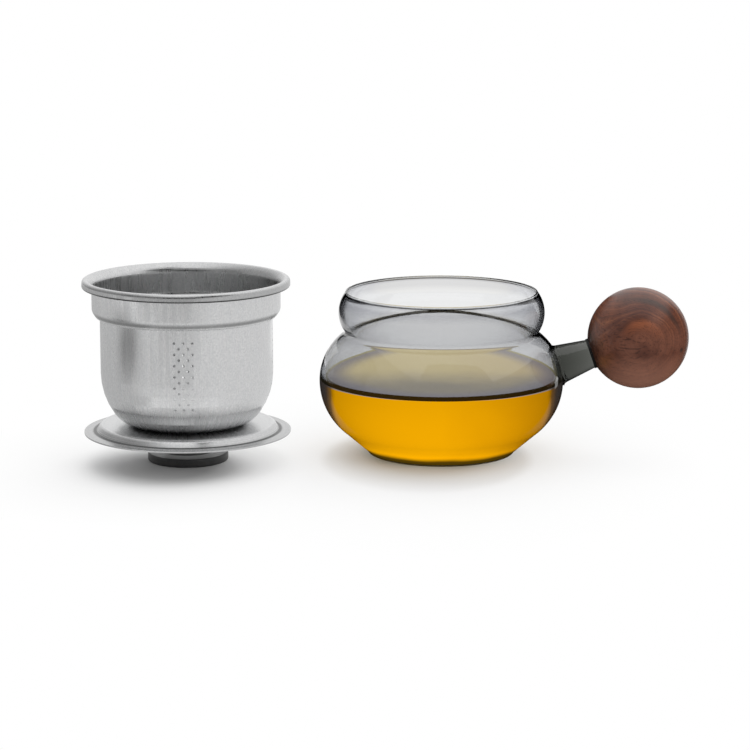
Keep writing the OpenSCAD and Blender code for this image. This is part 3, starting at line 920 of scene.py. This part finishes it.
# %% [markdown]
# ## What the reflections see
# Steel and glass show the room they stand in. The backdrop and the ceiling are white, the
# room in front is grey, and it is dark round the camera. A dome painted that way stands in
# for the room. Only reflections see it: it is hidden from the camera, from light and shadow
# and from what is seen through glass. Cards do what they do in a studio. Mats that lie on the
# table set how bright the lower half of each reflection is, a flag leaves a soft grey stripe
# on the left of the steel, and cards between the mug and the infuser keep the tea's colour
# off the steel. Black cards round the mug give its glass dark edges.

# %% The room
ROOM_R = 2400
ROOM_Z = -20
ROOM_ARC_STEPS = 24
ROOM_STEPS = 96
WAY_TO_CAMERA = (0, -0.985, 0.174)


def reflected_only(piece):
    """Hides a staged piece from everything but reflections."""
    piece.visible_camera = False
    piece.visible_diffuse = False
    piece.visible_transmission = False
    piece.visible_shadow = False


def room_paint():
    """White behind, above and to the right, grey in front and to the left, dark at the camera."""
    material = new_material("room_paint")
    place = add(material, "TexCoord", out="Object")
    way = add(material, "VectorMath", {0: place}, operation="NORMALIZE")
    parts = add(material, "SeparateXYZ", {"Vector": way}, out=None)
    back = add(material, "MapRange", {"Value": parts["Y"], "From Min": -0.5, "From Max": -0.1,
                                      "To Min": 0.5, "To Max": 1.0}, **SMOOTH)
    right = add(material, "MapRange", {"Value": parts["X"], "From Min": 0.1, "From Max": 0.8,
                                       "To Min": 0.0, "To Max": 0.95}, **SMOOTH)
    walls = add(material, "Math", {0: back, 1: right}, operation="MAXIMUM")
    above = add(material, "MapRange", {"Value": parts["Z"], "From Min": 0.5, "From Max": 0.7,
                                       "To Min": 0.0, "To Max": 1.05}, **SMOOTH)
    walls = add(material, "Math", {0: walls, 1: above}, operation="MAXIMUM")
    left = add(material, "MapRange", {"Value": parts["X"], "From Min": -0.85, "From Max": -0.15,
                                      "To Min": 0.35, "To Max": 0.92}, **SMOOTH)
    walls = add(material, "Math", {0: walls, 1: left}, operation="MULTIPLY")
    ahead = add(material, "VectorMath", {0: way, 1: WAY_TO_CAMERA},
                operation="DOT_PRODUCT", out="Value")
    dark = add(material, "MapRange", {"Value": ahead, "From Min": 0.80, "From Max": 0.96,
                                      "To Min": 1.0, "To Max": 0.08}, **SMOOTH)
    glow = add(material, "Math", {0: walls, 1: dark}, operation="MULTIPLY")
    paint = add(material, "Emission", {"Color": WHITE, "Strength": glow})
    add(material, "OutputMaterial", {"Surface": paint})
    return material


room = lathe("room_dome", arc((0, ROOM_Z), ROOM_R, 0, 90, ROOM_ARC_STEPS), ROOM_STEPS)
dress(room, room_paint())
reflected_only(room)

# %% How a card is made


def lying(x, y, z):
    """The corners of a card that lies at a height, from its two ranges in millimetres."""
    return [(x[0], y[0], z), (x[1], y[0], z), (x[1], y[1], z), (x[0], y[1], z)]


def upright(x, y, z):
    """The corners of a card that stands at one x, and whose front looks to the right."""
    return [(x, y[0], z[0]), (x, y[1], z[0]), (x, y[1], z[1]), (x, y[0], z[1])]


def card(name, outline, front, back, soft=False):
    """A flat card in millimetres, with one grey on the side it faces and one behind."""
    mesh = bpy.data.meshes.new(name)
    mesh.from_pydata([Vector(corner) * MM for corner in outline], [], [(0, 1, 2, 3)])
    piece = bpy.data.objects.new(name, mesh)
    bpy.context.scene.collection.objects.link(piece)
    material = new_material(name + "_paint")
    behind = add(material, "NewGeometry", out="Backfacing")
    shade = add(material, "Mix", {AMOUNT: behind, FROM: front, TO: back}, **BLEND)
    paint = add(material, "Emission", {"Color": shade})
    if soft:
        # Thins out to nothing from the middle of the card to its edge
        box = add(material, "TexCoord", out="Generated")
        off = add(material, "VectorMath", {0: box, 1: (0.5, 0.5, 0.5)}, operation="DISTANCE",
                  out="Value")
        thin = add(material, "MapRange", {"Value": off, "From Min": 0.15, "From Max": 0.5},
                   **SMOOTH)
        clear = add(material, "BsdfTransparent")
        paint = add(material, "MixShader", {0: thin, 1: paint, 2: clear})
    add(material, "OutputMaterial", {"Surface": paint})
    dress(piece, material)
    reflected_only(piece)


# %% Cards
BLACK = "080808"
GREY = "707070"
FLAG_GREY = "8C8C8C"
LEFT_GREY = "C8C8C8"
MAT_GREY = "E4E4E4"
CARD_WHITE = "E8E8E8"
# Cards end half-way between infuser and mug, at the table's front part, in front of the
# infuser, and to the right and in front of the mug
MIDDLE_X = -54
FRONT_Y = -520
STACK_FRONT_Y = -80
RIGHT_X = 150
MUG_FRONT_Y = -150
MAT_Z = 1.5

card("table_end", lying((-2300, 2300), (-2300, FRONT_Y), 1), GREY, GREY)
card("steel_mat", lying((-420, MIDDLE_X), (FRONT_Y, STACK_FRONT_Y), MAT_Z), MAT_GREY, MAT_GREY)
card("far_mat", lying((-420, MIDDLE_X), (FRONT_Y, -340), 2), WHITE, WHITE)
card("left_mat", lying((-600, -144), (STACK_FRONT_Y, 500), MAT_Z), LEFT_GREY, LEFT_GREY)
card("left_flag", upright(-170, (STACK_FRONT_Y, -24), (20, 62)), FLAG_GREY, FLAG_GREY, soft=True)
# The two cards behind the middle one leave a gap through which the white room is reflected
card("middle_card", upright(MIDDLE_X, (-170, 2), (0, 90)), BLACK, CARD_WHITE)
card("middle_low", upright(MIDDLE_X, (2, 60), (0, 36)), BLACK, CARD_WHITE)
card("middle_high", upright(MIDDLE_X, (2, 60), (50, 90)), BLACK, CARD_WHITE)
card("mug_fin", [(36, 20, 0), (80, 20, 0), (62, 20, 75), (36, 20, 75)], BLACK, BLACK)
card("mug_flag", [(MIDDLE_X, MUG_FRONT_Y, 0), (MIDDLE_X, MUG_FRONT_Y, 300),
                  (RIGHT_X, MUG_FRONT_Y, 300), (RIGHT_X, MUG_FRONT_Y, 0)], BLACK, BLACK)
card("mug_side", upright(RIGHT_X, (MUG_FRONT_Y, 80), (0, 110)), BLACK, BLACK)
card("mug_mat", lying((MIDDLE_X, RIGHT_X), (MUG_FRONT_Y, 120), 0.5), BLACK, BLACK)

# %% Lamps


def softbox(name, place, aim, size, power):
    """A large soft lamp, aimed at a point, in metres. Reflections see the dome instead."""
    lamp = bpy.data.lights.new(name, "AREA")
    lamp.shape = "RECTANGLE"
    lamp.size, lamp.size_y = size
    lamp.energy = power
    thing = bpy.data.objects.new(name, lamp)
    thing.location = place
    thing.rotation_euler = (Vector(aim) - Vector(place)).to_track_quat("-Z", "Y").to_euler()
    thing.visible_glossy = False
    thing.visible_transmission = False
    bpy.context.scene.collection.objects.link(thing)
    print(name, "gives", power, "W")


softbox("top_softbox", (0.0, 0.6, 0.95), (0, 0, 0.03), (1.0, 0.8), 5.2)
softbox("left_softbox", (-1.0, -0.3, 0.4), (-0.1, 0, 0.04), (0.7, 0.5), 2.0)
softbox("right_softbox", (0.85, -0.7, 0.4), (-0.02, 0, 0.03), (0.6, 0.5), 3.2)

# %% [markdown]
# ## Camera
# A long lens from a little above table height keeps the ellipses of both rims narrow.

# %% Camera
CAMERA_AT = Vector((-26.3, -1120.0, 254.0)) * MM
CAMERA_DOWN = 11.27
LENS_MM = 138.0
SENSOR_MM = 36.0

camera_data = bpy.data.cameras.new("camera")
camera_data.sensor_width = SENSOR_MM
camera_data.lens = LENS_MM
camera = bpy.data.objects.new("camera", camera_data)
camera.location = CAMERA_AT
camera.rotation_euler = (math.radians(90 - CAMERA_DOWN), 0, 0)
bpy.context.scene.collection.objects.link(camera)
bpy.context.scene.camera = camera
bpy.context.scene.view_settings.view_transform = "Standard"
print("the camera looks down", CAMERA_DOWN, "degrees through a", LENS_MM, "mm lens")
